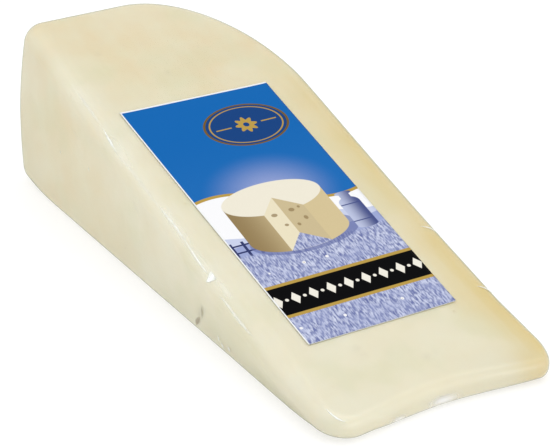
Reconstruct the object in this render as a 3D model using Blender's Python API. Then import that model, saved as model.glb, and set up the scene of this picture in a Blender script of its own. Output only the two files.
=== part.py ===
"""A wedge of pale semi-hard goat's cheese, drawn tight in clear film, with a printed label.

The wedge comes from a wheel that was first cut in two across its height, and then into thin
slices like a cake. It lies on one cut face. The other cut face slopes from the high rim at the
back, +Y, down to the blunt tip at the front, -Y. The side at -X is the flat cut through the
middle of the wheel, and the side at +X is the wheel's own flat side, which rounds over into
the rim.

Units are metres, +Z is up, and the origin is the middle of the wedge's box, on the ground.
"""

import math

import bmesh
import bpy
from mathutils import Vector

# Driving dimensions of the wheel and of the cut
WHEEL_RADIUS = 0.168
HALF_WHEEL_HEIGHT = 0.056
CUT_ANGLE = math.radians(15.3)
TIP_DISTANCE = 0.0195  # from the wheel's middle to the blunt tip

# The wheel's rounded shoulder, between its flat side and its rim
SHOULDER_WIDTH = 0.0295  # along the wheel's axis
SHOULDER_DEPTH = 0.0438  # towards the wheel's middle

# Rounding of the other corners, seen square on to a cut face
RIM_CORNER = 0.0050  # between the rim and the middle cut
TIP_CORNER = 0.0073  # between the tip and the middle cut
TIP_SHOULDER_WIDTH = 0.0045  # between the tip and the wheel's flat side
TIP_SHOULDER_DEPTH = 0.0085

# Rounding of the edges between the cut faces and the walls
UPPER_ROUNDING = 0.0050
LOWER_ROUNDING = 0.0015
CORNER_LIFT = 0.0030  # added to the lower rounding at the two left corners
CORNER_REACH = 0.0100  # how far from a corner the lift fades
TIP_EDGE_SHARE = 0.9  # of half the thickness, where the wedge is too thin for the rounding

# Unevenness from the knife and from the tight film
TIP_HOLLOW = 0.0026  # how far the tip's front edge draws in at its middle
WAIST = 0.0005  # how far the flat side draws in
WAIST_PLACE = 0.38  # where it draws in, as a share of the way from tip to rim
RIDGE_SWELL = 0.0024  # how far the upper left edge swells out
RIDGE_SWELL_SHIFT = 0.55  # under 1, this moves the swelling towards the tip
WALL_SWELL = 0.0008  # how far the left wall bulges halfway up

# Fineness of the mesh
CORNER_STEPS = 5
SHOULDER_STEPS = 16
SIDE_STEPS = 18
FRONT_STEPS = 8
EDGE_STEPS = 4
WALL_STEPS = 4

# The label, which lies on the sloping face
LABEL_RIM_WIDTH = 0.0380
LABEL_TIP_WIDTH = 0.0362
LABEL_LENGTH = 0.0830
LABEL_THICKNESS = 0.0003
LABEL_GAP = 0.0003
LABEL_MIDDLE_DISTANCE = 0.0842  # from the wheel's middle, along the slope
LABEL_SIDE_SHIFT = -0.0027

CHEESE_COLOUR = (0.79, 0.72, 0.54, 1.0)
LABEL_COLOUR = (0.01, 0.14, 0.46, 1.0)


def clear_scene():
    for item in list(bpy.data.objects):
        bpy.data.objects.remove(item, do_unlink=True)


def new_collection(name):
    collection = bpy.data.collections.new(name)
    bpy.context.scene.collection.children.link(collection)
    return collection


def new_material(name, colour, roughness):
    material = bpy.data.materials.new(name)
    material.use_nodes = True
    shader = material.node_tree.nodes["Principled BSDF"]
    shader.inputs["Base Color"].default_value = colour
    shader.inputs["Roughness"].default_value = roughness
    shader.inputs["Metallic"].default_value = 0.0
    return material


def new_object(name, mesh, material, collection):
    mesh.materials.append(material)
    item = bpy.data.objects.new(name, mesh)
    collection.objects.link(item)
    return item


def quarter_ellipse(middle, half_width, half_depth, start_angle, steps):
    """Points of a quarter turn, anticlockwise, with both ends."""
    points = []
    for step in range(steps + 1):
        angle = start_angle + math.pi / 2 * step / steps
        x = middle[0] + half_width * math.cos(angle)
        r = middle[1] + half_depth * math.sin(angle)
        points.append((x, r))
    return points


def points_between(start, end, steps):
    """Points strictly between two ends of a straight stretch."""
    stretch = Vector(end) - Vector(start)
    return [tuple(Vector(start) + stretch * step / steps) for step in range(1, steps)]


def plan_outline():
    """The wedge seen square on to a cut face, anticlockwise from the left side's low end.

    Each point is x, from the middle cut to the wheel's flat side, and r, from the wheel's
    middle to its rim.
    """
    width, radius, tip = HALF_WHEEL_HEIGHT, WHEEL_RADIUS, TIP_DISTANCE
    left_tip = quarter_ellipse(
        (TIP_CORNER, tip + TIP_CORNER), TIP_CORNER, TIP_CORNER, math.pi, CORNER_STEPS
    )
    right_tip = quarter_ellipse(
        (width - TIP_SHOULDER_WIDTH, tip + TIP_SHOULDER_DEPTH),
        TIP_SHOULDER_WIDTH,
        TIP_SHOULDER_DEPTH,
        -math.pi / 2,
        CORNER_STEPS,
    )
    shoulder = quarter_ellipse(
        (width - SHOULDER_WIDTH, radius - SHOULDER_DEPTH),
        SHOULDER_WIDTH,
        SHOULDER_DEPTH,
        0.0,
        SHOULDER_STEPS,
    )
    left_rim = quarter_ellipse(
        (RIM_CORNER, radius - RIM_CORNER), RIM_CORNER, RIM_CORNER, math.pi / 2, CORNER_STEPS
    )
    outline = list(left_tip)
    outline += points_between(left_tip[-1], right_tip[0], FRONT_STEPS)
    outline += right_tip
    outline += points_between(right_tip[-1], shoulder[0], SIDE_STEPS)
    outline += shoulder
    outline += points_between(shoulder[-1], left_rim[0], FRONT_STEPS)
    outline += left_rim
    outline += points_between(left_rim[-1], left_tip[0], SIDE_STEPS)
    return outline


def along(r):
    """0 at the tip and 1 at the rim."""
    return (r - TIP_DISTANCE) / (WHEEL_RADIUS - TIP_DISTANCE)


def uneven_outline(outline):
    """Draws in the tip's front edge and the flat side's waist."""
    uneven = []
    for x, r in outline:
        across = x / HALF_WHEEL_HEIGHT
        up = along(r)
        near_tip = max(0.0, 1.0 - up / WAIST_PLACE) ** 2
        waist_arch = math.sin(math.pi * min(1.0, up / (2 * WAIST_PLACE))) ** 2
        x -= WAIST * waist_arch * across**2
        r += TIP_HOLLOW * near_tip * math.sin(math.pi * across) ** 2
        uneven.append((x, r))
    return uneven


def outward_directions(outline):
    """Unit directions out of an anticlockwise outline at each of its points."""
    directions = []
    count = len(outline)
    for index in range(count):
        before = Vector(outline[index - 1])
        after = Vector(outline[(index + 1) % count])
        stretch = (after - before).normalized()
        directions.append((stretch.y, -stretch.x))
    return directions


def ridge_shift(r, height_share):
    """How far the left wall stands to the right of the plan at a share of the height."""
    up = min(1.0, max(0.0, along(r)))
    swell = RIDGE_SWELL * math.sin(math.pi * up**RIDGE_SWELL_SHIFT) * height_share
    bulge = WALL_SWELL * math.sin(math.pi * height_share)
    return -swell - bulge


def wedge_point(x, r, angle):
    """A point at x and r in the plan, turned up from the ground about the wheel's axis."""
    share = angle / CUT_ANGLE
    left_share = 1.0 - x / HALF_WHEEL_HEIGHT
    x += ridge_shift(r, share) * left_share
    return Vector((x - HALF_WHEEL_HEIGHT / 2, r * math.cos(angle), r * math.sin(angle)))


def edge_roundings(x, r):
    """The lower and the upper edge's rounding at a point of the outline."""
    limit = r * math.tan(CUT_ANGLE / 2) * TIP_EDGE_SHARE
    to_corner = min(math.hypot(x, r - TIP_DISTANCE), math.hypot(x, r - WHEEL_RADIUS))
    lift = CORNER_LIFT * math.exp(-((to_corner / CORNER_REACH) ** 2))
    return min(LOWER_ROUNDING + lift, limit), min(UPPER_ROUNDING, limit)


def wall_levels():
    """Each ring of the wall from the ground up, as its bend and its share of the height.

    The bend is 90 degrees in the plane of a cut face and 0 where the wall starts.
    """
    levels = []
    for step in range(EDGE_STEPS + 1):
        levels.append((math.pi / 2 * (1 - step / EDGE_STEPS), 0.0))
    for step in range(1, WALL_STEPS):
        levels.append((0.0, step / WALL_STEPS))
    for step in range(EDGE_STEPS + 1):
        levels.append((math.pi / 2 * step / EDGE_STEPS, 1.0))
    return levels


def ring(outline, directions, level):
    """The points of one ring of the wall."""
    bend, share = level
    points = []
    for (x, r), (out_x, out_r) in zip(outline, directions):
        lower, upper = edge_roundings(x, r)
        inset = (lower + (upper - lower) * share) * (1 - math.cos(bend))
        ring_x = x - out_x * inset
        ring_r = r - out_r * inset
        over_ground = math.asin(lower * (1 - math.sin(bend)) / ring_r)
        under_top = math.asin(upper * (1 - math.sin(bend)) / ring_r)
        angle = over_ground + share * (CUT_ANGLE - under_top - over_ground)
        points.append(wedge_point(ring_x, ring_r, angle))
    return points


def wedge_mesh():
    """A drum whose columns follow the outline and whose rows are the wall's rings."""
    outline = uneven_outline(plan_outline())
    directions = outward_directions(outline)
    rings = [ring(outline, directions, level) for level in wall_levels()]
    columns = len(outline)
    rows = len(rings)

    shape = bmesh.new()
    bmesh.ops.create_cone(
        shape, cap_ends=True, segments=columns, radius1=1.0, radius2=1.0, depth=1.0
    )
    uprights = [edge for edge in shape.edges if edge.calc_length() > 0.9]
    bmesh.ops.subdivide_edges(shape, edges=uprights, cuts=rows - 2, use_grid_fill=True)
    for vertex in shape.verts:
        turn = math.atan2(-vertex.co.x, vertex.co.y) / (2 * math.pi)
        column = round(turn * columns) % columns
        row = round((vertex.co.z + 0.5) * (rows - 1))
        vertex.co = rings[row][column]

    mesh = bpy.data.meshes.new("wrapped_wedge")
    shape.to_mesh(mesh)
    shape.free()
    return mesh


def centre_on_ground(mesh):
    """Moves the mesh over the middle of its box and returns how far it went."""
    lengths = [vertex.co.y for vertex in mesh.vertices]
    widths = [vertex.co.x for vertex in mesh.vertices]
    move = Vector((-(min(widths) + max(widths)) / 2, -(min(lengths) + max(lengths)) / 2, 0.0))
    for vertex in mesh.vertices:
        vertex.co += move
    return move


def label_mesh():
    """A thin plate, a little narrower towards the tip."""
    shape = bmesh.new()
    bmesh.ops.create_cube(shape, size=1.0)
    for vertex in shape.verts:
        width = LABEL_RIM_WIDTH if vertex.co.y > 0 else LABEL_TIP_WIDTH
        vertex.co.x *= width
    bmesh.ops.scale(shape, vec=(1.0, LABEL_LENGTH, LABEL_THICKNESS), verts=shape.verts)
    mesh = bpy.data.meshes.new("label")
    shape.to_mesh(mesh)
    shape.free()
    return mesh


def add_wrapped_wedge(collection):
    """Adds the wedge and returns where the wheel's middle went."""
    mesh = wedge_mesh()
    move = centre_on_ground(mesh)
    mesh.shade_smooth()
    material = new_material("cheese_in_film", CHEESE_COLOUR, 0.35)
    new_object("wrapped_wedge", mesh, material, collection)
    return move


def add_label(collection, wheel_middle):
    """Lays the label on the sloping face, a hair above it."""
    material = new_material("printed_label", LABEL_COLOUR, 0.4)
    label = new_object("label", label_mesh(), material, collection)
    up_the_slope = Vector((0.0, math.cos(CUT_ANGLE), math.sin(CUT_ANGLE)))
    off_the_slope = Vector((0.0, -math.sin(CUT_ANGLE), math.cos(CUT_ANGLE)))
    label.location = (
        wheel_middle
        + Vector((LABEL_SIDE_SHIFT, 0.0, 0.0))
        + up_the_slope * LABEL_MIDDLE_DISTANCE
        + off_the_slope * (LABEL_GAP + LABEL_THICKNESS / 2)
    )
    label.rotation_euler = (CUT_ANGLE, 0.0, 0.0)


def main():
    clear_scene()
    collection = new_collection("goat_cheese_wedge")
    wheel_middle = add_wrapped_wedge(collection)
    add_label(collection, wheel_middle)


main()
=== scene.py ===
import math
import random

import bpy
import numpy as np
from mathutils import Matrix, Vector, noise
from mathutils.bvhtree import BVHTree


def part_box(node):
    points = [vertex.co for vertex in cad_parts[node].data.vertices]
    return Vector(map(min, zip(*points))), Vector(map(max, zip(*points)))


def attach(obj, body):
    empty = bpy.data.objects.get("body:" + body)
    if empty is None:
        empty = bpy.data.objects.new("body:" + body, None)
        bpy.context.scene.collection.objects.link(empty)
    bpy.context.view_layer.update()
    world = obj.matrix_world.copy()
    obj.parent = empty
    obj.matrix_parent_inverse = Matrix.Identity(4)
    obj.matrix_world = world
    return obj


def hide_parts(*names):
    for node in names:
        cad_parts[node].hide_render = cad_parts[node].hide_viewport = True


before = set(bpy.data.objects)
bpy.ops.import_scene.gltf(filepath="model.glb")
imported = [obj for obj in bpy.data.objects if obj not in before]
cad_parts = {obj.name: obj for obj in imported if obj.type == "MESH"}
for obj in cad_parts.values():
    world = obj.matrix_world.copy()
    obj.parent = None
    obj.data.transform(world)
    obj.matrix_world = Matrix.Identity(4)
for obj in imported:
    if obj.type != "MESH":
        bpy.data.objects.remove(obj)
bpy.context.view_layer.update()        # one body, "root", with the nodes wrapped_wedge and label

mm = 0.001
white = (1.0, 1.0, 1.0, 1.0)
scene = bpy.context.scene
studioLight = 1.23  # how bright a white sheet on the upper cut face comes out
print("frame loaded")


# Small helpers for materials

def screenColour(red, green, blue):
    # A screen's 0 to 255 numbers as the linear colour that shaders take
    shares = [value / 255 for value in (red, green, blue)]
    linear = [s / 12.92 if s <= 0.04045 else ((s + 0.055) / 1.055) ** 2.4 for s in shares]
    return (*linear, 1.0)


def printInk(red, green, blue):
    # An ink that looks like these screen numbers in the studio's light
    return (*[share / studioLight for share in screenColour(red, green, blue)[:3]], 1.0)


def addNode(tree, kind, **settings):
    node = tree.nodes.new(kind)
    for name, value in settings.items():
        setattr(node, name, value)
    return node


def feed(tree, source, target):
    # The source is a socket, a number or a colour
    if isinstance(source, bpy.types.NodeSocket):
        tree.links.new(source, target)
    else:
        target.default_value = source


def feedAll(tree, node, sources):
    for name, source in sources.items():
        feed(tree, source, node.inputs[name])


def maths(tree, operation, a, b=0.0, clamp=False):
    node = addNode(tree, "ShaderNodeMath", operation=operation, use_clamp=clamp)
    feed(tree, a, node.inputs[0])
    feed(tree, b, node.inputs[1])
    return node.outputs[0]


def times(tree, a, b):
    return maths(tree, "MULTIPLY", a, b)


def plus(tree, a, b, clamp=False):
    return maths(tree, "ADD", a, b, clamp)


def minus(tree, a, b):
    return maths(tree, "SUBTRACT", a, b)


def distanceTo(tree, dx, dy):
    return maths(tree, "SQRT", plus(tree, times(tree, dx, dx), times(tree, dy, dy)))


def softStep(tree, value, start, end, low=0.0, high=1.0):
    node = addNode(tree, "ShaderNodeMapRange", interpolation_type="SMOOTHSTEP")
    names = ("Value", "From Min", "From Max", "To Min", "To Max")
    feedAll(tree, node, dict(zip(names, (value, start, end, low, high))))
    return node.outputs["Result"]


def blend(tree, share, first, second, mode="MIX"):
    node = addNode(tree, "ShaderNodeMix", data_type="RGBA", blend_type=mode)
    feed(tree, share, node.inputs[0])
    feed(tree, first, node.inputs[6])
    feed(tree, second, node.inputs[7])
    return node.outputs[2]


def attribute(tree, name):
    return addNode(tree, "ShaderNodeAttribute", attribute_name=name).outputs["Fac"]


def bumpFrom(tree, height, distance, strength):
    node = addNode(tree, "ShaderNodeBump")
    feedAll(tree, node, {"Strength": strength, "Distance": distance, "Height": height})
    return node.outputs["Normal"]


def newGroup(name, settings, result):
    # A node group that takes a place as Vector and these settings, and gives one number
    tree = bpy.data.node_groups.new(name, "ShaderNodeTree")
    tree.interface.new_socket("Vector", in_out="INPUT", socket_type="NodeSocketVector")
    for setting, value in settings.items():
        kind = "NodeSocketVector" if isinstance(value, tuple) else "NodeSocketFloat"
        tree.interface.new_socket(setting, in_out="INPUT", socket_type=kind).default_value = value
    tree.interface.new_socket(result, in_out="OUTPUT", socket_type="NodeSocketFloat")
    return tree, tree.nodes.new("NodeGroupInput").outputs, tree.nodes.new("NodeGroupOutput").inputs


def useGroup(tree, group, vector, **values):
    node = addNode(tree, "ShaderNodeGroup", node_tree=group)
    feedAll(tree, node, {"Vector": vector, **values})
    return node.outputs[0]


def newMaterial(name):
    material = bpy.data.materials.new(name)
    material.use_nodes = True
    tree = material.node_tree
    shader = tree.nodes["Principled BSDF"]
    place = addNode(tree, "ShaderNodeTexCoord").outputs["Object"]
    return material, tree, shader, place


# Effects that several materials share

def cloudyGroup():
    # Soft clouds of tone, 0 to 1, Size metres across
    tree, given, gives = newGroup("cloudyTone", {"Size": 0.02, "Turn": 0.0}, "Tone")
    clouds = addNode(tree, "ShaderNodeTexNoise", noise_dimensions="4D")
    feedAll(tree, clouds, {
        "Vector": given["Vector"],
        "Scale": maths(tree, "DIVIDE", 1.0, given["Size"]),
        "W": given["Turn"],
        "Detail": 3.0,
    })
    feed(tree, softStep(tree, clouds.outputs[0], 0.3, 0.7), gives["Tone"])
    return tree


def grainGroup():
    # Fine stretched grain, 0 to 1, for knife lines, paper fibres and stretch marks in film
    tree, given, gives = newGroup("fineGrain", {"Size": 0.001, "Stretch": (1, 1, 1)}, "Height")
    stretched = addNode(tree, "ShaderNodeVectorMath", operation="DIVIDE")
    feed(tree, given["Vector"], stretched.inputs[0])
    feed(tree, given["Stretch"], stretched.inputs[1])
    grain = addNode(tree, "ShaderNodeTexNoise")
    feedAll(tree, grain, {
        "Vector": stretched.outputs[0],
        "Scale": maths(tree, "DIVIDE", 1.0, given["Size"]),
        "Detail": 4.0,
    })
    feed(tree, grain.outputs[0], gives["Height"])
    return tree


def specksGroup():
    # Scattered round specks, Gap metres apart; Share of them are left out
    settings = {"Gap": 0.004, "Reach": 0.2, "Share": 0.5}
    tree, given, gives = newGroup("scatteredSpecks", settings, "Speck")
    cells = addNode(tree, "ShaderNodeTexVoronoi")
    scale = maths(tree, "DIVIDE", 1.0, given["Gap"])
    feedAll(tree, cells, {"Vector": given["Vector"], "Scale": scale})
    nearness = softStep(tree, cells.outputs["Distance"], 0.0, given["Reach"], 1.0, 0.0)
    channels = addNode(tree, "ShaderNodeSeparateColor")
    feed(tree, cells.outputs["Color"], channels.inputs[0])
    chosen = maths(tree, "GREATER_THAN", channels.outputs[0], given["Share"])
    feed(tree, times(tree, nearness, chosen), gives["Speck"])
    return tree


cloudyTone = cloudyGroup()
fineGrain = grainGroup()
scatteredSpecks = specksGroup()
print("shared effects ready")


# The wedge's own form, as the CAD solid has it, but with a finer and even mesh

wedge = {
    "radius": 0.168,  # of the whole wheel
    "width": 0.056,
    "cutAngle": math.radians(15.3),
    "tip": 0.0195,  # where the thin end is cut off, from the wheel's middle
    "shoulder": (0.0295, 0.0438),  # along the wheel's axis, and towards its middle
    "rimCorner": (0.0050, 0.0050),
    "tipCorner": (0.0073, 0.0073),
    "tipShoulder": (0.0045, 0.0085),
    "upperRounding": 0.0050,
    "lowerRounding": 0.0015,
    "cornerLift": 0.0030,
    "cornerReach": 0.0100,
    "leftShare": 0.4,  # of the width, for what only the left wall has
    "noseLift": 0.0010,  # more rounding under the tip's right corner
    "noseReach": 0.0180,
    "tipEdgeShare": 0.9,
    "tipHollow": 0.0026,
    "waist": 0.0005,
    "waistPlace": 0.38,
    "ridgeSwell": 0.0024,
    "ridgeSwellShift": 0.55,
    "wallSwell": 0.0008,
    "arcSteps": 48,
}


def quarterArc(middle, half, startAngle):
    angles = startAngle + np.linspace(0.0, math.pi / 2, wedge["arcSteps"] + 1)
    x, r = middle[0] + half[0] * np.cos(angles), middle[1] + half[1] * np.sin(angles)
    return np.column_stack([x, r])


def cornerArcs():
    # The four rounded corners seen square on to a cut face, anticlockwise from the tip's left
    w, r, tip = wedge["width"], wedge["radius"], wedge["tip"]
    leftTip, rightTip, shoulder, leftRim = (
        wedge[name] for name in ("tipCorner", "tipShoulder", "shoulder", "rimCorner")
    )
    return [
        quarterArc((leftTip[0], tip + leftTip[1]), leftTip, math.pi),
        quarterArc((w - rightTip[0], tip + rightTip[1]), rightTip, -math.pi / 2),
        quarterArc((w - shoulder[0], r - shoulder[1]), shoulder, 0.0),
        quarterArc((leftRim[0], r - leftRim[1]), leftRim, math.pi / 2),
    ]


def evenPoints(line, count):
    # The line's points again, evenly spaced, without the last
    lengths = np.r_[0.0, np.cumsum(np.hypot(*np.diff(line, axis=0).T))]
    places = np.linspace(0.0, lengths[-1], count + 1)[:-1]
    return np.column_stack([np.interp(places, lengths, line[:, k]) for k in (0, 1)])


def planOutline(across, along):
    # Each side of the grid starts at the middle of a corner arc
    arcs = cornerArcs()
    half = wedge["arcSteps"] // 2
    sides = []
    for k, count in enumerate((across, along, across, along)):
        line = np.vstack([arcs[k][half:], arcs[(k + 1) % 4][:half + 1]])
        sides.append(evenPoints(line, count))
    return np.vstack(sides)


def upTheSlope(r):
    return (r - wedge["tip"]) / (wedge["radius"] - wedge["tip"])


def unevenOutline(outline):
    x, r = outline.T.copy()
    across, up = x / wedge["width"], upTheSlope(r)
    nearTip = np.maximum(0.0, 1.0 - up / wedge["waistPlace"]) ** 2
    arch = np.sin(math.pi * np.minimum(1.0, up / (2 * wedge["waistPlace"]))) ** 2
    x -= wedge["waist"] * arch * across**2
    r += wedge["tipHollow"] * nearTip * np.sin(math.pi * across) ** 2
    return np.column_stack([x, r])


def outwardInPlan(outline):
    stretch = np.roll(outline, -1, axis=0) - np.roll(outline, 1, axis=0)
    stretch /= np.hypot(*stretch.T)[:, None]
    return np.column_stack([stretch[:, 1], -stretch[:, 0]])


def edgeRoundings(x, r):
    limit = r * math.tan(wedge["cutAngle"] / 2) * wedge["tipEdgeShare"]
    toTip, toRim = r - wedge["tip"], r - wedge["radius"]
    toCorner = np.minimum(np.hypot(x, toTip), np.hypot(x, toRim))
    lift = wedge["cornerLift"] * np.exp(-((toCorner / wedge["cornerReach"]) ** 2))
    toNose = np.hypot(x - wedge["width"], toTip)
    lift += wedge["noseLift"] * np.exp(-((toNose / wedge["noseReach"]) ** 2))
    lower = np.minimum(wedge["lowerRounding"] + lift, limit)
    return lower, np.minimum(wedge["upperRounding"], limit)


def wallLevels(steps):
    # Bend and share of the height of each ring, from the ground up
    low, wall, high = steps
    quarter = math.pi / 2
    levels = [(quarter * (1 - k / low), 0.0) for k in range(low + 1)]
    levels += [(0.0, k / wall) for k in range(1, wall)]
    levels += [(quarter * k / high, 1.0) for k in range(high + 1)]
    return levels


def ringInPlan(outline, outward, level):
    # x, r and the angle up from the ground of one ring's points
    bend, share = level
    lower, upper = edgeRoundings(*outline.T)
    inset = (lower + (upper - lower) * share) * (1 - math.cos(bend))
    x, r = (outline - outward * inset[:, None]).T
    overGround = np.arcsin(lower * (1 - math.sin(bend)) / r)
    underTop = np.arcsin(upper * (1 - math.sin(bend)) / r)
    angle = overGround + share * (wedge["cutAngle"] - underTop - overGround)
    return np.column_stack([x, r, angle])


def inTheRound(plan):
    # From x, r and angle to a place beside the wheel's middle
    x, r, angle = plan.T
    share = angle / wedge["cutAngle"]
    up = np.clip(upTheSlope(r), 0.0, 1.0)
    shift = -wedge["ridgeSwell"] * np.sin(math.pi * up ** wedge["ridgeSwellShift"]) * share
    shift -= wedge["wallSwell"] * np.sin(math.pi * share)
    x = x + shift * (1.0 - x / wedge["width"])
    return np.column_stack([x - wedge["width"] / 2, r * np.cos(angle), r * np.sin(angle)])


def borderColumns(across, along):
    # Which ring column each border point of a cut face's grid uses
    columns = np.zeros((along + 1, across + 1), int)
    i, j = np.arange(across + 1), np.arange(along + 1)
    columns[0, :] = i
    columns[:, across] = across + j
    columns[along, :] = 2 * across + along - i
    columns[1:, 0] = (2 * across + 2 * along - j)[1:]
    return columns


def cutFaceGrid(ring, columns, rounds=400):
    # Spreads a grid over a cut face from its border
    grid = ring[columns]
    u = np.linspace(0, 1, grid.shape[1])[None, :, None]
    v = np.linspace(0, 1, grid.shape[0])[:, None, None]
    sides = (1 - v) * grid[:1] + v * grid[-1:] + (1 - u) * grid[:, :1] + u * grid[:, -1:]
    tipCorners = (1 - u) * grid[0, 0] + u * grid[0, -1]
    rimCorners = (1 - u) * grid[-1, 0] + u * grid[-1, -1]
    grid[1:-1, 1:-1] = (sides - (1 - v) * tipCorners - v * rimCorners)[1:-1, 1:-1]
    for _ in range(rounds):
        near = grid[:-2, 1:-1] + grid[2:, 1:-1] + grid[1:-1, :-2] + grid[1:-1, 2:]
        grid[1:-1, 1:-1] = near / 4
    return grid


def quadsOf(grid):
    corners = [grid[:-1, :-1], grid[:-1, 1:], grid[1:, 1:], grid[1:, :-1]]
    return np.stack([corner.ravel() for corner in corners], axis=1)


def wedgeSkin(across, along, wallSteps):
    # A closed skin: rings up the walls, and a grid over each cut face
    outline = unevenOutline(planOutline(across, along))
    outward = outwardInPlan(outline)
    rings = [ringInPlan(outline, outward, level) for level in wallLevels(wallSteps)]
    count = len(outline)
    columns = borderColumns(across, along)
    plan = [np.vstack(rings)]
    wall = np.arange(len(rings) * count).reshape(len(rings), count)
    faces = [quadsOf(np.hstack([wall, wall[:, :1]]))]
    total = wall.size
    last = (len(rings) - 1) * count
    for ring, first, flip in ((rings[0], 0, True), (rings[-1], last, False)):
        inner = cutFaceGrid(ring, columns)[1:-1, 1:-1]
        rows, places = inner.shape[:2]
        numbers = columns % count + first
        numbers[1:-1, 1:-1] = total + np.arange(rows * places).reshape(rows, places)
        plan.append(inner.reshape(-1, 3))
        quads = quadsOf(numbers)
        faces.append(quads[:, ::-1] if flip else quads)
        total += rows * places
    plan = np.vstack(plan)
    return plan, inTheRound(plan), np.vstack(faces)


def skinNormals(points, faces):
    a, b, c, d = (points[faces[:, k]] for k in range(4))
    facing = np.cross(c - a, d - b)
    normals = np.zeros_like(points)
    for k in range(4):
        np.add.at(normals, faces[:, k], facing)
    return normals / np.linalg.norm(normals, axis=1)[:, None]


def wheelMiddle():
    # Where the wheel's middle lies, from the boxes of the CAD wedge and of the bare form
    points = wedgeSkin(24, 60, (4, 6, 6))[1]
    cadLow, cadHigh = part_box("wrapped_wedge")
    middle = (np.array(cadLow) + np.array(cadHigh) - points.min(axis=0) - points.max(axis=0)) / 2
    return np.array([middle[0], middle[1], 0.0])


def meshObject(name, points, faces, masks, materials):
    mesh = bpy.data.meshes.new(name)
    mesh.from_pydata(points.tolist(), [], faces.tolist())
    for maskName, values in masks.items():
        layer = mesh.attributes.new(maskName, "FLOAT", "POINT")
        layer.data.foreach_set("value", np.asarray(values, np.float32))
    mesh.shade_smooth()
    for material in materials:
        mesh.materials.append(material)
    piece = bpy.data.objects.new(name, mesh)
    scene.collection.objects.link(piece)
    return piece


def softNoise(points, size, shift):
    # Smooth noise from -1 to 1 with humps about this size
    offset = Vector((shift, shift * 1.7, shift * 2.3))
    return np.array([noise.noise(Vector(point) / size + offset) for point in points.tolist()])


def ramp(value, start, end):
    # 0 at the start and 1 at the end, straight in between
    return np.clip((value - start) / (end - start), 0.0, 1.0)


def fade(distance, reach):
    # 1 at no distance, 0 past the reach, without a corner
    t = np.clip(1.0 - distance / reach, 0.0, 1.0)
    return t * t * (3 - 2 * t)


middle = wheelMiddle()
print("wheel's middle at", middle.round(5).tolist())


# Cheese

cheese = {
    "grid": (62, 150),
    "wallSteps": (16, 24, 16),
    "inset": 0.00024,  # under the film
    "ivory": screenColour(212, 202, 165),
    "cream": screenColour(217, 209, 181),
    # lighter and less saturated: used for the painted sheen towards the tip and along the upper
    # left edge
    "pale": screenColour(219, 214, 192),
    "warm": screenColour(214, 194, 154),
    "green": screenColour(200, 198, 160),
    "straw": screenColour(205, 180, 102),
    "rind": screenColour(204, 184, 136),
    # painted shade: greyer and darker near the foot, the rim, low on the left wall and at the
    # tip's right corner
    "greyShade": screenColour(208, 201, 176),
    # painted shade in the dent and the eyes
    "recessShade": screenColour(96, 82, 58),
    # painted shade in the small pits
    "pitShade": screenColour(190, 176, 138),
    "roughness": 0.45,
    "ridgeSheenPale": (0.0015, 0.0090),  # painted sheen along the upper left edge: how far over it, and how wide
    "wallFade": (0.002, -0.004),  # from over this edge to under it
    "ridgeFades": (0.004, 0.028),  # at the tip and at the rim
    "flatSideStart": 0.93,  # share of the width
    # The straw tint along the flat side: how far it reaches and how strong it is at each r
    "strawReach": ((0.022, 0.0062), (0.045, 0.0108), (0.070, 0.0092)),
    "strawShare": ((0.0195, 0.55), (0.0245, 1.0), (0.0500, 1.0), (0.0720, 0.84)),
    "strawFalloff": 2.4,
    "strawRimFade": (0.104, 0.138, 0.92),
    "rindReach": 0.0035,
    "rindShare": 0.5,
    # Where other tones start and end, and how strong they are; the grey ones are painted shade
    # paler towards the tip: painted sheen
    "tipPale": (0.150, 0.075),
    "rimPale": (0.022, 0.012, 0.024, 0.7),  # reach from the rim, then from x to x
    # painted shade, greyer and darker: near the foot, near the rim, low on the left wall near the
    # tip, and at the tip's right corner
    "footShade": (0.006, 0.2),
    "rimShade": (0.030, 0.5),
    "wallShade": (0.052, 0.032, 0.8),
    "noseShade": ((0.030, 0.022), (0.026, 0.044), 0.8),  # from r to r, and from x to x
    "waves": 0.00005,
    "waveSize": 0.018,
    "eyes": [  # small eyes in the upper cut face: x from the middle cut, r, half width, depth
        (0.0179, 0.0388, 0.0009, 0.00016),
        (0.0297, 0.0312, 0.0010, 0.00016),
        (0.0324, 0.0314, 0.0007, 0.00012),
        (0.0182, 0.0364, 0.0007, 0.00012),
        (0.0244, 0.1370, 0.0009, 0.00014),
        (0.0430, 0.1120, 0.0007, 0.00012),
        (0.0120, 0.1490, 0.0008, 0.00014),
        (0.0360, 0.1440, 0.0006, 0.00010),
    ],
    # A small dent in the left wall: ends as r and place over the edge, width and depth
    "dent": ((0.0713, -0.0100), (0.0735, -0.0140), 0.0007, 0.00020),
}


def ridgePlace(plan):
    # r along the upper left edge, and how far over it: below 0 is down the wall
    x, r, angle = plan.T
    return r, x - r * np.sin(wedge["cutAngle"] - angle)


def betweenEnds(r):
    # 1 along the edge, 0 at the tip's face and at the rim
    tip, rim = wedge["tip"], wedge["radius"]
    tipFade, rimFade = cheese["ridgeFades"]
    return ramp(r, tip, tip + tipFade) * ramp(r, rim, rim - rimFade)


def toSegment(u, v, start, end):
    # Distance from a segment
    du, dv = end[0] - start[0], end[1] - start[1]
    t = np.clip(((u - start[0]) * du + (v - start[1]) * dv) / (du * du + dv * dv), 0.0, 1.0)
    return np.hypot(u - start[0] - t * du, v - start[1] - t * dv)


def toRind(plan):
    # Distance in plan from the flat side and its shoulder
    outline = unevenOutline(planOutline(60, 150))
    x, r = outline.T
    onSide = x > cheese["flatSideStart"] * wedge["width"]
    side = outline[onSide & (r < wedge["radius"] - 0.4 * wedge["shoulder"][1])]
    nearest = np.full(len(plan), 1.0)
    for point in side:
        nearest = np.minimum(nearest, np.hypot(plan[:, 0] - point[0], plan[:, 1] - point[1]))
    return nearest


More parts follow.
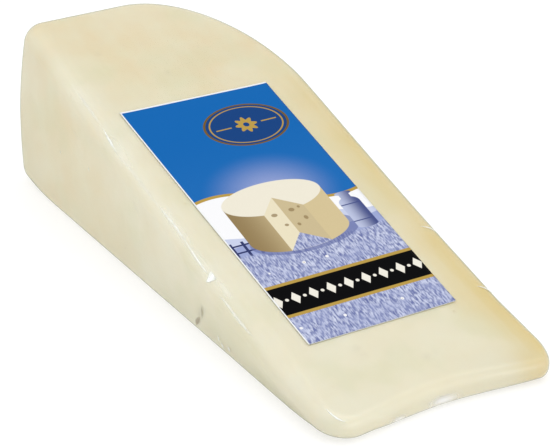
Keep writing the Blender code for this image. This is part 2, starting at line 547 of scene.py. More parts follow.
def cheeseMaterial():
    material, tree, shader, place = newMaterial("ivoryCheese")
    clouds = useGroup(tree, cloudyTone, place, Size=0.026, Turn=1.0)
    blotches = useGroup(tree, cloudyTone, place, Size=0.0125, Turn=4.2)
    patches = useGroup(tree, cloudyTone, place, Size=0.015, Turn=9.0)
    knife = useGroup(tree, fineGrain, place, Size=0.0016, Stretch=(1.0, 14.0, 6.0))
    pits = useGroup(tree, scatteredSpecks, place, Gap=0.0052, Reach=0.13, Share=0.72)
    paleAndSheen = attribute(tree, "paleAndSheen")
    tan = times(tree, blotches, softStep(tree, paleAndSheen, 0.0, 1.0, 0.78, 0.24))
    uneven = softStep(tree, blotches, -0.5, 1.0, 0.86, 1.0)
    tone = cheese["ivory"]
    for share, strength, colour in (
        (clouds, 0.7, "cream"),
        # paler: painted sheen towards the tip and along the upper left edge
        (paleAndSheen, 0.85, "pale"),
        (tan, 1.0, "warm"),
        (softStep(tree, patches, 0.45, 1.0, 0.0, 0.35), 1.0, "green"),
        # painted shade, greyer and darker
        (attribute(tree, "greyShade"), 0.9, "greyShade"),
        (times(tree, attribute(tree, "strawTint"), uneven), 1.0, "straw"),
        (attribute(tree, "rindTint"), 1.0, "rind"),
        (softStep(tree, knife, 0.35, 0.7), 0.14, "cream"),
        # painted shade in the small pits
        (pits, 0.4, "pitShade"),
        # painted shade in the dent and the eyes
        (attribute(tree, "recessShade"), 0.8, "recessShade"),
    ):
        tone = blend(tree, times(tree, share, strength), tone, cheese[colour])
    dull = cheese["roughness"]
    feedAll(tree, shader, {
        "Base Color": tone,
        "Roughness": softStep(tree, blotches, 0.0, 1.0, dull - 0.06, dull + 0.08),
        "Normal": bumpFrom(tree, minus(tree, times(tree, knife, 0.35), pits), 0.00016, 0.5),
        "Coat Weight": softStep(tree, clouds, 0.2, 0.9, 0.10, 0.32),  # where the film clings
        "Coat Roughness": 0.28,
        "Subsurface Weight": 0.18,
        "Subsurface Radius": (1.0, 0.72, 0.42),
        "Subsurface Scale": 0.004,
    })
    return material


def cheeseMasks(plan, recessShade, pits):
    # Where each tone of the cheese lies, one number a point, painted sheen and painted shade among
    # them
    x, r, angle = plan.T
    v = ridgePlace(plan)[1]
    height, toRim = angle / wedge["cutAngle"], wedge["radius"] - r
    onLeftWall, underEdge = x < wedge["leftShare"] * wedge["width"], height < 0.93
    downWall = ramp(v, *cheese["wallFade"]) * onLeftWall

    nearSide = toRind(plan)
    reach, share = (np.interp(r, *zip(*cheese[name])) for name in ("strawReach", "strawShare"))
    start, end, strength = cheese["strawRimFade"]
    straw = share * np.exp(-((nearSide / reach) ** cheese["strawFalloff"]))
    straw *= 1.0 - strength * ramp(r, start, end)
    rind = fade(np.minimum(nearSide, toRim), cheese["rindReach"]) * underEdge

    # Paler: painted sheen along the upper left edge and towards the tip; also paler down the left
    # wall and at the rim's right side
    over, wide = cheese["ridgeSheenPale"]
    ridgeSheenPale = np.exp(-(((v - over) / wide) ** 2)) * betweenEnds(r) * onLeftWall
    reach, start, end, strength = cheese["rimPale"]
    rimPale = strength * fade(toRim, reach) * ramp(x, start, end)
    pale = np.maximum(ramp(r, *cheese["tipPale"]) + 0.25 * downWall, ridgeSheenPale + rimPale)

    # Greyer and darker: painted shade near the foot, near the rim, low on the left wall near the
    # tip, and at the tip's right corner
    reach, strength = cheese["footShade"]
    greyShade = fade(r * np.sin(angle), reach) * strength
    reach, strength = cheese["rimShade"]
    greyShade += fade(toRim, reach) * strength
    start, end, strength = cheese["wallShade"]
    greyShade += strength * ramp(r, start, end) * downWall
    downSlope, across, strength = cheese["noseShade"]
    nose = strength * ramp(r, *downSlope) * ramp(x, *across)
    return {
        "strawTint": straw,
        "rindTint": rind * cheese["rindShare"],
        "greyShade": np.clip(greyShade * (height < 0.97) * (x < 0.6 * wedge["width"]) + nose, 0, 1),
        "paleAndSheen": pale.clip(0, 1),
        # painted shade in the dent and the eyes
        "recessShade": np.clip(0.3 * recessShade + 0.12 * pits / 0.00016, 0, 1),
    }


def makeCheese():
    plan, points, faces = wedgeSkin(*cheese["grid"], cheese["wallSteps"])
    x, r, angle = plan.T
    lift = cheese["waves"] * softNoise(points, cheese["waveSize"], 3.1)
    onTop = angle / wedge["cutAngle"] > 0.999
    pits = np.zeros(len(plan))
    for eyeX, eyeR, halfWidth, depth in cheese["eyes"]:
        pit = fade(np.hypot(x - eyeX, r - eyeR), halfWidth * 1.6) * depth
        pits = np.maximum(pits, pit * onTop)
    start, end, width, depth = cheese["dent"]
    fromDent = toSegment(*ridgePlace(plan), start, end)
    # The dent's profile, which also sets where its shade is painted
    recessShade = np.exp(-((fromDent / width) ** 2)) * (x < wedge["leftShare"] * wedge["width"])
    inwards = cheese["inset"] + pits + depth * recessShade - lift
    points = points - skinNormals(points, faces) * inwards[:, None]
    masks = cheeseMasks(plan, recessShade, pits)
    piece = meshObject("cheese", points + middle, faces, masks, [cheeseMaterial()])
    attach(piece, "root")
    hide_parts("wrapped_wedge")
    print("cheese:", len(faces), "faces")


# Film

film = {
    "grid": (92, 232),
    "wallSteps": (18, 34, 22),
    "inset": 0.00010,  # leaves room for the creases inside the CAD wedge
    "ripple": 0.00003,
    "rippleSize": 0.009,
    "tint": (0.985, 0.988, 0.975, 1.0),
    # the white of the film's haze, which also carries the painted sheen
    "paintedLight": screenColour(246, 248, 240),
    "mirrorShare": 0.06,  # seen square on
    "edgeMirror": 0.14,  # more at a glancing angle
    "edgeTint": (0.58, 0.60, 0.48, 1.0),
    "looseRoughness": 0.40,
    "tautRoughness": 0.30,
    "ridgeSheen": ((0.14, 0.001, 0.0024), (0.06, 0.003, 0.0090)),  # painted sheen along the upper left edge: how strong, where and how wide
    # Middle, reach and strength of soft spots, in mm
    "sheenSpots": [  # painted sheen in soft pale spots: r, and the distance over the left edge
        ((108.0, 0.0), (10.0, 1.2), 0.20),
        ((91.0, 0.8), (8.0, 1.1), 0.26),
        ((77.0, 0.3), (5.0, 0.9), 0.22),
        ((64.5, 1.2), (2.6, 0.9), 0.45),
    ],
    "shinySpots": [  # x and height, on the tip's face
        ((16.9, 1.2), (1.7, 0.7), 0.60),
        ((28.4, 1.7), (3.0, 1.2), 0.72),
    ],
    # painted highlights on the white folds, and painted shadow in the dark creases
    "highlightColour": screenColour(246, 249, 246),
    "shadedColour": screenColour(128, 110, 76),
}

# Sharp little folds in the film: places, half width and height in mm, and how strong the light
# painted on them is: a painted highlight on most, painted shadow on the dark creases.
# Over the upper edges the places are r and the distance over the edge, at the foot r and height.
# A flared fold widens to a blunt end, and the others taper at both ends.
folds = {
    "leftEdge": [
        ([(141.0, 0.9), (135.0, 0.8), (129.0, 0.8), (124.0, 0.7)], 0.40, 0.05, 0.26),
        ([(125.0, 0.8), (121.0, 0.2), (118.3, -0.3), (115.0, -0.5)], 0.32, 0.09, 0.75),
        ([(115.5, -0.5), (109.0, -0.2), (102.0, 0.2), (95.0, 0.4)], 0.45, 0.05, 0.20),
        ([(95.6, 0.4), (91.6, 0.7), (88.6, 1.0), (84.7, 0.9), (82.4, 0.7)], 0.30, 0.08, 0.60),
        ([(83.8, 0.8), (80.4, 0.5), (76.2, 0.2), (73.1, 0.2), (71.9, 0.2)], 0.23, 0.10, 0.80),
        ([(71.9, 1.5), (70.6, 0.5), (69.4, -0.9)], 1.85, 0.10, 1.0, "flared"),
        ([(65.6, -1.5), (62.6, -1.2), (57.7, -1.4), (53.6, -1.2), (51.0, -0.8)], 0.42, 0.08, 0.48),
        ([(26.0, 2.3), (24.3, 2.3), (22.2, 2.7), (20.8, 3.6)], 0.26, 0.10, 0.75),
        ([(141.6, -19.2), (140.9, -20.0)], 0.25, 0.05, 0.5),
        ([(126.4, -13.2), (125.6, -13.9)], 0.22, 0.05, 0.5),
        ([(104.5, -6.0), (99.5, -8.0)], 0.16, 0.04, 0.2),
        ([(136.0, -9.0), (131.5, -9.6)], 0.18, 0.04, 0.2),
    ],
    "rightEdge": [
        ([(67.2, 5.6), (66.6, 4.2), (66.0, 2.6), (65.6, 0.6), (65.2, -2.5)], 0.24, 0.13, 0.75),
        ([(45.6, 4.8), (45.2, 3.4), (44.6, 1.8), (44.4, -0.6), (44.0, -2.8)], 0.26, 0.14, 0.85),
        ([(98.8, 2.6), (98.7, 0.6), (98.9, -2.4)], 0.20, 0.08, 0.4),
        ([(30.4, 3.2), (29.8, 1.4), (29.8, -0.8)], 0.18, 0.08, 0.4),
    ],
    "leftFoot": [
        ([(64.8, 5.2), (65.1, 2.9)], 0.42, 0.05, 0.60),
        ([(64.3, 3.3), (63.5, 1.9)], 0.48, 0.05, 0.85),
        ([(60.9, 4.2), (60.2, 2.7)], 0.48, 0.05, 0.80),
        ([(57.2, 1.2), (56.6, 2.9)], 0.30, 0.07, 0.4),
        ([(74.4, 0.4), (74.9, 2.0), (75.2, 3.4)], 0.20, 0.06, 0.25),
    ],
    # dark creases at the foot: strips of painted shadow
    "darkFoot": [
        ([(71.3, 9.5), (71.2, 7.8), (71.7, 5.8)], 0.30, 0.05, 0.72),
        ([(72.9, 5.4), (74.6, 3.6), (76.5, 1.4)], 0.68, 0.05, 0.62),
    ],
    "footSpread": {"count": 26, "seed": 7, "halfWidth": 0.16, "height": 0.06},
    # Across every fold: place, rise and strength of the painted light as shares of its own
    "tent": ((-1, -0.25, 0.15), (-0.55, 0.55, 1), (0, 1.0, 1), (0.55, 0.55, 1), (1, -0.25, 0.15)),
}


def footSpread():
    # More short folds, scattered along the foot of the left wall
    spread = folds["footSpread"]
    draw = random.Random(spread["seed"])
    found = []
    for _ in range(spread["count"]):
        r, top, lean = draw.uniform(26, 158), draw.uniform(0.9, 2.6), draw.uniform(-0.9, 0.9)
        places, lightStrength = [(r, 0.3), (r + lean, top)], draw.uniform(0.15, 0.4)
        found.append((places, spread["halfWidth"], spread["height"], lightStrength))
    return found


def filmMaterial():
    material, tree, shader, place = newMaterial("clearFilm")
    clouds = useGroup(tree, cloudyTone, place, Size=0.014, Turn=2.4)
    grain = useGroup(tree, fineGrain, place, Size=0.0022, Stretch=(1.0, 5.0, 2.0))
    specks = useGroup(tree, scatteredSpecks, place, Gap=0.0085, Reach=0.035, Share=0.80)
    normal = bumpFrom(tree, grain, 0.00006, 0.35)
    turned = addNode(tree, "ShaderNodeLayerWeight")  # the same from both sides of the thin film
    feed(tree, normal, turned.inputs["Normal"])
    edge = maths(tree, "POWER", turned.outputs["Facing"], 5.0)
    mirror = plus(tree, film["mirrorShare"], times(tree, edge, film["edgeMirror"]))
    mirror = plus(tree, mirror, attribute(tree, "shine"), clamp=True)
    deep = softStep(tree, turned.outputs["Facing"], 0.60, 0.95)
    patchy = softStep(tree, clouds, 0.0, 1.0, 0.35, 1.0)
    # Haze: faint random milkiness, the sheen painted along the upper left edge and in soft spots,
    # and specks
    haze = plus(tree, times(tree, clouds, 0.03), times(tree, attribute(tree, "paintedLight"), patchy))
    haze = plus(tree, haze, times(tree, specks, 0.4), clamp=True)

    clear = addNode(tree, "ShaderNodeBsdfTransparent")
    feed(tree, blend(tree, deep, film["tint"], film["edgeTint"]), clear.inputs["Color"])
    gloss = addNode(tree, "ShaderNodeBsdfAnisotropic")
    rough = softStep(tree, clouds, 0.0, 1.0, film["looseRoughness"], film["tautRoughness"])
    feedAll(tree, gloss, {"Color": white, "Roughness": rough, "Normal": normal})
    feedAll(tree, shader, {"Base Color": film["paintedLight"], "Roughness": 0.2, "Normal": normal})
    under = clear
    for share, over in ((mirror, gloss), (haze, shader)):
        mixed = addNode(tree, "ShaderNodeMixShader")
        for k, source in enumerate((share, under.outputs[0], over.outputs[0])):
            feed(tree, source, mixed.inputs[k])
        under = mixed
    feed(tree, under.outputs[0], tree.nodes["Material Output"].inputs["Surface"])
    return material


def foldMaterial(name, colour):
    material, tree, shader, place = newMaterial(name)
    flecks = useGroup(tree, cloudyTone, place, Size=0.0016, Turn=5.5)
    # A fold's colour is painted light: a highlight on the white folds, shadow on the dark creases
    feedAll(tree, shader, {
        "Base Color": colour,
        "Roughness": softStep(tree, flecks, 0.0, 1.0, 0.10, 0.28),
        "Alpha": times(tree, attribute(tree, "paintedLight"), softStep(tree, flecks, 0.1, 0.8, 0.7, 1.0)),
    })
    return material


def placeOnEdge(where, first, second):
    # One point of a fold in the round, before it is laid on the film
    r, over = first * mm, second * mm
    if where in ("leftFoot", "darkFoot"):
        plan = (0.0, r, math.asin(over / r))
    else:
        x, angle = max(over, 0.0), wedge["cutAngle"] - math.asin(max(-over, 0.0) / r)
        plan = (x if where == "leftEdge" else wedge["width"] - x, r, angle)
    return Vector(inTheRound(np.array([plan]))[0])


def smoothPath(points, count):
    # A smooth curve through a few points
    places, fine = np.linspace(0, 1, len(points)), np.linspace(0, 1, count)
    line = np.column_stack([np.interp(fine, places, [p[k] for p in points]) for k in (0, 1)])
    for _ in range(2):
        line[1:-1] = (line[:-2] + 2 * line[1:-1] + line[2:]) / 4
    return line


def foldRibbon(tree, where, fold, first):
    # A low tent that tapers at both ends, or widens to a blunt end
    places, halfWidth, height, lightStrength, *shape = fold
    length = math.dist(places[0], places[-1])
    count = max(8, int(length / 0.35))
    path = smoothPath(places, count)
    laid = [tree.find_nearest(placeOnEdge(where, *place))[:2] for place in path]
    points, paintedLight, faces = [], [], []
    for k, (spot, normal) in enumerate(laid):
        along = (laid[min(k + 1, count - 1)][0] - laid[max(k - 1, 0)][0]).normalized()
        side = normal.cross(along).normalized()
        way = k / (count - 1)
        if shape:
            taper = min(way, 6 * (1 - way)) + 0.02
        else:
            taper = min(1.0, math.sin(math.pi * way) ** 0.6 + 0.02)
        lightShare = lightStrength * min(1.0, taper * 3 if shape else taper)
        wander = 0.10 * noise.noise(Vector((first + way * length * 0.5, height * 50, 0.3)))
        for across, rise, share in folds["tent"]:
            aside = spot + side * (across + wander) * halfWidth * taper * mm
            onFilm, outward, _, _ = tree.find_nearest(aside)
            points.append(onFilm + outward * rise * height * taper * mm)
            paintedLight.append(lightShare * share)
    for k in range(count - 1):
        for column in range(4):
            a = first + k * 5 + column
            faces.append((a, a + 5, a + 6, a + 1))
    return points, paintedLight, faces


def makeFolds(name, tree, kinds, material):
    points, paintedLight, faces = [], [], []
    for where in kinds:
        for fold in folds[where] + (footSpread() if where == "leftFoot" else []):
            ribbon = foldRibbon(tree, where, fold, len(points))
            for whole, new in zip((points, paintedLight, faces), ribbon):
                whole += new
    points = np.array([list(point) for point in points])
    return meshObject(name, points + middle, np.array(faces), {"paintedLight": paintedLight}, [material])


def softSpots(spots, first, second, here):
    # Spots in the film that have no sharp edge
    total = np.zeros(len(first))
    for centre, reach, strength in spots:
        u, v = (first / mm - centre[0]) / reach[0], (second / mm - centre[1]) / reach[1]
        total += strength * np.exp(-(u**2 + v**2)) * here
    return total


def makeFilm():
    plan, points, faces = wedgeSkin(*film["grid"], film["wallSteps"])
    x, r, angle = plan.T
    over = ridgePlace(plan)[1]
    onLeft = x < 0.5 * wedge["width"]
    onTip = (r < wedge["tip"] + 0.006) & (angle < 0.8 * wedge["cutAngle"])
    # The sheen along the upper left edge and in soft pale spots is painted into the film's haze
    bands = sum(
        lightShare * np.exp(-(((over - place) / wide) ** 2)) for lightShare, place, wide in film["ridgeSheen"]
    )
    masks = {
        "paintedLight": bands * betweenEnds(r) * onLeft
        + softSpots(film["sheenSpots"], r, over, onLeft),
        "shine": softSpots(film["shinySpots"], x, r * np.sin(angle), onTip),
    }
    ripple = film["ripple"] * softNoise(points, film["rippleSize"], 5.7)
    points = points + skinNormals(points, faces) * (ripple - film["inset"])[:, None]
    piece = meshObject("film", points + middle, faces, masks, [filmMaterial()])
    tree = BVHTree.FromPolygons(points.tolist(), faces.tolist())
    bright, dark = ("leftEdge", "rightEdge", "leftFoot"), ("darkFoot",)
    # White folds carry painted highlights, the dark creases painted shadow
    light = makeFolds("foldHighlights", tree, bright, foldMaterial("highlightFold", film["highlightColour"]))
    shaded = makeFolds("shadedFolds", tree, dark, foldMaterial("shadedFold", film["shadedColour"]))
    for part in (piece, light, shaded):
        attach(part, "root")
        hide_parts("wrapped_wedge")
    print("film:", len(faces), "faces")


# Label

label = {
    "rimWidth": 0.0380,
    "tipWidth": 0.0362,
    "length": 0.0830,
    "middleDistance": 0.0842,
    "sideShift": -0.0027,
    "steps": (44, 96),
    "underside": -0.00007,  # over the upper cut face
    "paper": 0.00014,
    "wave": 0.00003,
    "cornerLift": 0.00010,
    # How far each corner is off the even shape, in mm: rim left, rim right, tip left, tip right
    "corners": ((-0.55, 0.70), (-0.36, -0.30), (0.03, 0.35), (0.74, 0.36)),
    "margins": (0.27, 0.44),  # bare paper at the left and at the rim end, in mm
    "edgeBlur": 0.06,  # mm
}

inks = {  # as they look in the studio's light
    "skyDeep": (19, 104, 181),
    "skySoft": (30, 108, 184),
    "glow": (172, 180, 222),
    "badge": (24, 68, 130),
    "gold": (188, 156, 76),
    "goldDark": (120, 92, 38),
    "mist": (250, 250, 252),
    "farHill": (204, 211, 236),
    "nearHill": (158, 169, 214),
    "grassDark": (104, 114, 166),
    "grassMid": (158, 167, 208),
    "grassLight": (212, 218, 240),
    "blossom": (244, 244, 246),
    "band": (6, 6, 8),
    "cream": (242, 238, 226),
    "wheelTop": (240, 234, 216),
    "wheelSide": (214, 196, 152),
    "wheelShade": (150, 128, 88),
    "wheelCut": (236, 226, 196),
    "wheelCutShade": (205, 188, 148),
    "churn": (190, 198, 226),
    "churnShade": (74, 84, 138),
    "fence": (52, 60, 108),
}
inks = {name: printInk(*numbers) for name, numbers in inks.items()}
inks["paperWhite"] = screenColour(238, 240, 240)
inks["paperGrey"] = screenColour(226, 228, 228)


layout = {  # of the print, in mm from the label's middle: x across, y up the slope
    "halo": ((0.0, 5.0), (15.0, 12.0)),  # middle and half sizes
    "badge": ((6.2, 28.4), (10.4, 7.2)),
    "rosette": (8.0, 2.3, 0.5, 0.75),  # petals, their reach and swing, and the heart's reach
    "badgeRules": (5.9, (2.0, 0.18)),
    "goldWave": (3.4, 4.4, -9.0, 0.0),  # base, swing, length and start of each wave
    "farHill": (-6.2, 1.3, 4.6, 0.4),
    "nearHill": (-9.6, 1.0, 5.8, 3.6),
    "meadow": (-12.8, 0.5, 3.1, 1.0),
    "fence": [((-14.0, rail), (9.0, 0.24)) for rail in (-8.6, -10.8)]
    + [((-18.2 + 2.9 * post, -10.0), (0.34, 2.5)) for post in range(4)],
    "wheel": (-1.6, 3.2, -9.4, 12.4, 5.2),  # middle, top, foot and half sizes
    "sliceEnds": ((-4.6, -4.83), (5.6, -4.64)),  # from the middle of its top
    "wheelEyes": (
        ((-4.0, -2.4), (0.75, 0.55)), ((-3.0, -6.2), (0.5, 0.42)), ((0.6, -2.0), (0.7, 0.6)),
        ((2.4, -5.4), (0.5, 0.65)), ((-0.2, -6.9), (0.42, 0.5)), ((2.6, -1.6), (0.35, 0.4)),
    ),
    "churnX": 14.4,
    "churn": (
        ("box", -8.4, (2.6, 4.2)), ("oval", -12.4, (2.6, 0.8)), ("oval", -4.4, (2.6, 1.9)),
        ("box", -2.4, (1.3, 1.3)), ("oval", -1.1, (2.1, 0.6)),
    ),
    "churnRings": (-4.9, -10.6),
    "band": (-27.6, 4.2, 4.4),  # middle, half height and step of the chain
}


def inked(tree, distance, blur=label["edgeBlur"]):
    # 1 inside a shape whose signed distance in mm is below 0
    return softStep(tree, distance, -blur, blur, 1.0, 0.0)


def ovalDistance(tree, x, y, centre, radii):
    dx = maths(tree, "DIVIDE", minus(tree, x, centre[0]), radii[0])
    dy = maths(tree, "DIVIDE", minus(tree, y, centre[1]), radii[1])
    return times(tree, minus(tree, distanceTo(tree, dx, dy), 1.0), min(radii))


def boxDistance(tree, x, y, centre, halves):
    dx = minus(tree, maths(tree, "ABSOLUTE", minus(tree, x, centre[0])), halves[0])
    dy = minus(tree, maths(tree, "ABSOLUTE", minus(tree, y, centre[1])), halves[1])
    return both(tree, dx, dy)


def underWave(tree, x, y, base, swing, length, start):
    # Signed distance from a wavy line; below 0 is under it
    turn = plus(tree, maths(tree, "DIVIDE", x, length), start)
    line = plus(tree, times(tree, maths(tree, "SINE", turn), swing), base)
    return minus(tree, y, line)


def underLine(tree, x, y, first, second):
    # Signed distance in y from the straight line through two points
    slope = (second[1] - first[1]) / (second[0] - first[0])
    line = plus(tree, times(tree, x, slope), first[1] - slope * first[0])
    return minus(tree, y, line)


def both(tree, first, second):
    return maths(tree, "MAXIMUM", first, second)


def either(tree, first, second):
    return maths(tree, "MINIMUM", first, second)


def outlineOf(tree, distance, width):
    return minus(tree, maths(tree, "ABSOLUTE", distance), width / 2)


def grassPrint(tree, place):
    # Tufts drawn with upright strokes, darker in clumps
    blades = useGroup(tree, fineGrain, place, Size=0.00042, Stretch=(1.0, 3.4, 1.0))
    clumps = useGroup(tree, cloudyTone, place, Size=0.0026, Turn=7.0)
    strokes = softStep(tree, blades, 0.34, 0.66)
    tone = blend(tree, strokes, inks["grassDark"], inks["grassLight"])
    return blend(tree, times(tree, clumps, 0.55), tone, inks["grassMid"])


def printedPicture(tree, x, y, place):
    def oval(centre, radii):
        return ovalDistance(tree, x, y, centre, radii)

    def box(centre, halves):
        return boxDistance(tree, x, y, centre, halves)

    def lay(distance, tone, strength=1.0, blur=label["edgeBlur"]):
        # One more layer on the picture, with an ink or a tone of its own
        nonlocal picture
        mask = inked(tree, distance, blur)
        mask = times(tree, mask, strength) if strength < 1 else mask
        tone = inks[tone] if isinstance(tone, str) else tone
        picture = blend(tree, mask, picture, tone)

    picture = blend(tree, softStep(tree, y, 30.0, 4.0), inks["skyDeep"], inks["skySoft"])
    halo = softStep(tree, oval(*layout["halo"]), -12.0, 2.0, 0.75, 0.0)
    picture = blend(tree, halo, picture, inks["glow"])

    # A blank oval badge with a small rosette and two rules
    centre, radii = layout["badge"]
    badge = oval(centre, radii)
    lay(badge, "badge")
    lay(outlineOf(tree, plus(tree, badge, 0.9), 0.26), "gold")
    lay(outlineOf(tree, badge, 0.40), "goldDark")
    count, petalReach, petalSwing, heartReach = layout["rosette"]
    dx, dy = minus(tree, x, centre[0]), minus(tree, y, centre[1])
    turn = times(tree, maths(tree, "ARCTAN2", dy, dx), count)
    petals = plus(tree, times(tree, maths(tree, "COSINE", turn), petalSwing), petalReach)
    reach = distanceTo(tree, dx, dy)
    lay(minus(tree, reach, petals), "gold")
    lay(minus(tree, reach, heartReach), "badge")
    aside, halves = layout["badgeRules"]
    for side in (-aside, aside):
        lay(boxDistance(tree, dx, dy, (side, 0.0), halves), "gold")

    # Mist and hills under a gold wave that falls to the right
    horizon = underWave(tree, x, y, *layout["goldWave"])
    lay(horizon, "mist")
    lay(outlineOf(tree, horizon, 0.9), "gold")
    for hill in ("farHill", "nearHill"):
        lay(underWave(tree, x, y, *layout[hill]), hill)
    for centre, halves in layout["fence"]:
        lay(box(centre, halves), "fence")
    meadow = grassPrint(tree, place)
    meadowTop = underWave(tree, x, y, *layout["meadow"])
    lay(meadowTop, meadow, blur=0.9)

    # A whole cheese with one slice taken out
    middleX, topY, footY, halfX, halfY = layout["wheel"]
    top, foot = oval((middleX, topY), (halfX, halfY)), oval((middleX, footY), (halfX, halfY))
    drum = box((middleX, (topY + footY) / 2), (halfX, (topY - footY) / 2))
    body = either(tree, foot, drum)
    turned = softStep(tree, x, -14.0, 2.0)
    sideTone = blend(tree, turned, inks["wheelShade"], inks["wheelSide"])
    lay(oval((middleX + 0.8, footY - 1.0), (halfX + 1.2, halfY)), "grassDark", 0.7)
    lay(body, sideTone)
    lay(top, "wheelTop")
    for (endX, endY), ink in zip(layout["sliceEnds"], ("wheelCut", "wheelCutShade")):
        upper = underLine(tree, x, y, (middleX, topY), (middleX + endX, topY + endY))
        lower = plus(tree, upper, topY - footY)
        span = box((middleX + endX / 2, 0.0), (abs(endX) / 2, 40.0))
        notch = both(tree, both(tree, span, upper), either(tree, body, top))
        lay(notch, ink)
        lay(both(tree, notch, lower), meadow)
    for centre, radii in layout["wheelEyes"]:
        lay(oval(centre, radii), "wheelShade", 0.8)

    # A milk churn beside it
    churnX = layout["churnX"]
    across = softStep(tree, x, churnX - 2.6, churnX + 2.4)
    shade = blend(tree, across, inks["churn"], inks["churnShade"])
    churn = None
    for shape, centreY, radii in layout["churn"]:
        part = (oval if shape == "oval" else box)((churnX, centreY), radii)
        churn = part if churn is None else either(tree, churn, part)
    lay(churn, shade)
    for ringY in layout["churnRings"]:
        lay(both(tree, box((churnX, ringY), (2.6, 0.16)), churn), "churnShade")

    # Black band with gold rules and a chain of diamonds and dots
    bandMiddle, bandHalf, step = layout["band"]
    for half, ink in ((bandHalf + 0.9, "gold"), (bandHalf, "band")):
        lay(box((0.0, bandMiddle), (30.0, half)), ink)
    across = maths(tree, "PINGPONG", x, step / 2)
    rise = maths(tree, "ABSOLUTE", minus(tree, y, bandMiddle))
    diamond = minus(tree, plus(tree, across, times(tree, rise, 0.62)), 1.15)
    lay(diamond, "cream")
    dot = distanceTo(tree, minus(tree, step / 2, across), rise)
    lay(minus(tree, dot, 0.42), "cream")

    # Blossoms in the lower meadow
    offBand = minus(tree, bandHalf + 1.4, rise)
    lowMeadow = inked(tree, both(tree, plus(tree, y, 17.0), offBand), 0.4)
    for speckReach, start, end, ink in ((0.26, 0.25, 0.45, "blossom"), (0.10, 0.3, 0.5, "gold")):
        specks = useGroup(tree, scatteredSpecks, place, Gap=0.0028, Reach=speckReach, Share=0.60)
        mask = times(tree, softStep(tree, specks, start, end), lowMeadow)
        picture = blend(tree, mask, picture, inks[ink])
    return picture


def labelMaterial():
    material, tree, shader, place = newMaterial("printedPaper")
    millimetres = addNode(tree, "ShaderNodeVectorMath", operation="SCALE")
    feedAll(tree, millimetres, {"Vector": place, "Scale": 1000.0})
    axes = addNode(tree, "ShaderNodeSeparateXYZ")
    feed(tree, millimetres.outputs[0], axes.inputs[0])
    picture = printedPicture(tree, axes.outputs["X"], axes.outputs["Y"], place)
    edges = zip(("fromLeft", "fromRim"), label["margins"])
    bare = either(tree, *[minus(tree, attribute(tree, name), margin) for name, margin in edges])
    picture = blend(tree, inked(tree, bare), picture, inks["paperWhite"])
    grain = useGroup(tree, fineGrain, place, Size=0.0003, Stretch=(1.0, 1.6, 1.0))
    fibres = blend(tree, grain, (0, 0, 0, 1), (1, 1, 1, 1))
    feedAll(tree, shader, {
        "Base Color": blend(tree, 0.05, picture, fibres, "SOFT_LIGHT"),
        "Roughness": softStep(tree, grain, 0.3, 0.7, 0.40, 0.52),
        "Normal": bumpFrom(tree, grain, 0.00002, 0.3),
        "Specular IOR Level": 0.02,
    })
    return material


def bareMaterial():
    material, tree, shader, place = newMaterial("barePaper")
    fibres = useGroup(tree, fineGrain, place, Size=0.0002, Stretch=(1.0, 2.5, 1.0))
    feedAll(tree, shader, {
        "Base Color": blend(tree, fibres, inks["paperGrey"], inks["paperWhite"]),
        "Normal": bumpFrom(tree, fibres, 0.00002, 0.4),
        "Roughness": 0.6,
    })
    return material


def makeLabel():
    # A thin sheet that follows the film, in its own frame: x across, y up the slope
    across, along = label["steps"]
    v = np.linspace(-0.5, 0.5, along + 1)[:, None]
    u = np.linspace(-0.5, 0.5, across + 1)[None, :]
    atRim, atTip = label["rimWidth"], label["tipWidth"]
    width = (atRim + atTip) / 2 + v * (atRim - atTip)
    x, y = u * width, v * label["length"] + 0 * u
    shares = [(0.5 + k * u) * (0.5 + n * v) for n in (1, -1) for k in (-1, 1)]
    for share, (offX, offY) in zip(shares, label["corners"]):
        x, y = x + share * offX * mm, y + share * offY * mm
    z = np.full(x.shape, label["underside"])
    z = z + label["cornerLift"] * (np.abs(u) * 2) ** 8 * (np.abs(v) * 2) ** 16
    points = np.column_stack([x.ravel(), y.ravel(), z.ravel()])
    points[:, 2] += label["wave"] * (softNoise(points, 0.012, 8.1) + 1) / 2
    numbers = np.arange(points.shape[0]).reshape(x.shape)
    fromLeft, fromRim = (u + 0.5) * width / mm, (0.5 - v + 0 * u) * label["length"] / mm
    masks = {"fromLeft": fromLeft.ravel(), "fromRim": fromRim.ravel()}
    sides = [labelMaterial(), bareMaterial()]
    piece = meshObject("labelSheet", points, quadsOf(numbers), masks, sides)
    paper = piece.modifiers.new("paper", "SOLIDIFY")
    paper.thickness = label["paper"]
    paper.offset = 1.0
    paper.material_offset = paper.material_offset_rim = 1
    cut = wedge["cutAngle"]
    up = Vector((0.0, math.cos(cut), math.sin(cut)))
    place = Vector(middle) + Vector((label["sideShift"], 0, 0)) + up * label["middleDistance"]
    piece.matrix_world = Matrix.Translation(place) @ Matrix.Rotation(cut, 4, "X")
    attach(piece, "root")
    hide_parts("label")
    print("label sheet placed")


# Floor, light and camera

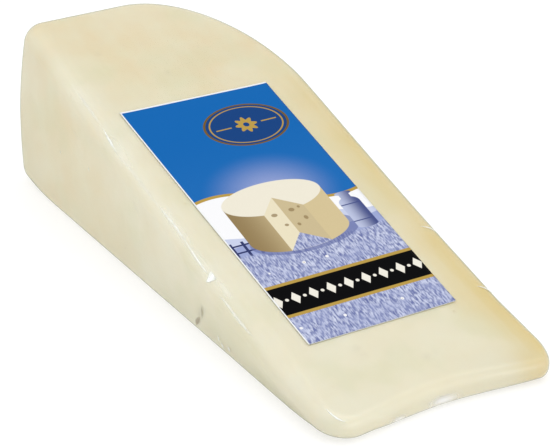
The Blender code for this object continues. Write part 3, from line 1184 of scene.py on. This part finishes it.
studio = {
    "skyStrength": 0.95,
    "floorColour": (0.45, 0.45, 0.45, 1.0),
    "floorGlow": 0.56,  # a light table, so the shadows stay pale
    "floorSize": 4.0,
    "floorDrop": 0.0001,
    "boxes": {  # direction from the wedge, distance, width, height, power
        "ridgeBox": ((-0.63, 0.48, 0.61), 0.9, 0.9, 0.9, 1.3),
        "tipBox": ((0.46, -0.68, 0.57), 0.9, 0.3, 0.3, 0.05),
        "frontBox": ((0.15, -1.0, 0.17), 0.9, 0.8, 0.28, 1.1),
        "topBox": ((0.1, -0.2, 1.0), 1.1, 0.9, 0.9, 2.6),
    },
}

camera = {
    "azimuth": math.radians(-30.9),  # 0 looks along +Y
    "elevation": math.radians(26.587),
    "distance": 0.5057,
    "lookAt": (-0.00178, -0.01057, 0.01689),
    "lens": 146.576,
    "sensor": 36.0,
}


def makeFloor():
    half = studio["floorSize"] / 2
    corners = np.array([(-half, -half), (half, -half), (half, half), (-half, half)])
    points = np.column_stack([corners, np.full(4, -studio["floorDrop"])])
    material, tree, shader, place = newMaterial("paleFloor")
    feedAll(tree, shader, {
        "Base Color": studio["floorColour"],
        "Roughness": 0.9,
        "Emission Color": white,
        "Emission Strength": studio["floorGlow"],
    })
    floor = meshObject("floor", points, np.array([[0, 1, 2, 3]]), {}, [material])


def setBack(name, data, target, way, distance):
    # A lamp or camera at this distance, looking at the target
    item = bpy.data.objects.new(name, data)
    turned = way.to_track_quat("Z", "Y").to_matrix().to_4x4()
    item.matrix_world = Matrix.Translation(target + way * distance) @ turned
    scene.collection.objects.link(item)
    return item


def makeLights():
    world = bpy.data.worlds.new("paleSky")
    scene.world = world
    world.use_nodes = True
    tree = world.node_tree
    sky = {"Color": white, "Strength": studio["skyStrength"]}
    feedAll(tree, tree.nodes["Background"], sky)
    for name, (direction, distance, width, height, power) in studio["boxes"].items():
        lamp = bpy.data.lights.new(name, "AREA")
        lamp.shape = "RECTANGLE"
        lamp.size, lamp.size_y, lamp.energy = width, height, power
        setBack(name, lamp, Vector((0, 0, 0)), Vector(direction).normalized(), distance)


def makeCamera():
    data = bpy.data.cameras.new("photoCamera")
    data.lens, data.sensor_width = camera["lens"], camera["sensor"]
    data.clip_start = 0.01
    a, e = camera["azimuth"], camera["elevation"]
    way = Vector((math.sin(a) * math.cos(e), -math.cos(a) * math.cos(e), math.sin(e)))
    eye = setBack("photoCamera", data, Vector(camera["lookAt"]), way, camera["distance"])
    scene.camera = eye


scene.view_settings.view_transform = "Standard"
makeCamera()
makeLights()
makeFloor()
makeCheese()
makeFilm()
makeLabel()
print("studio ready")
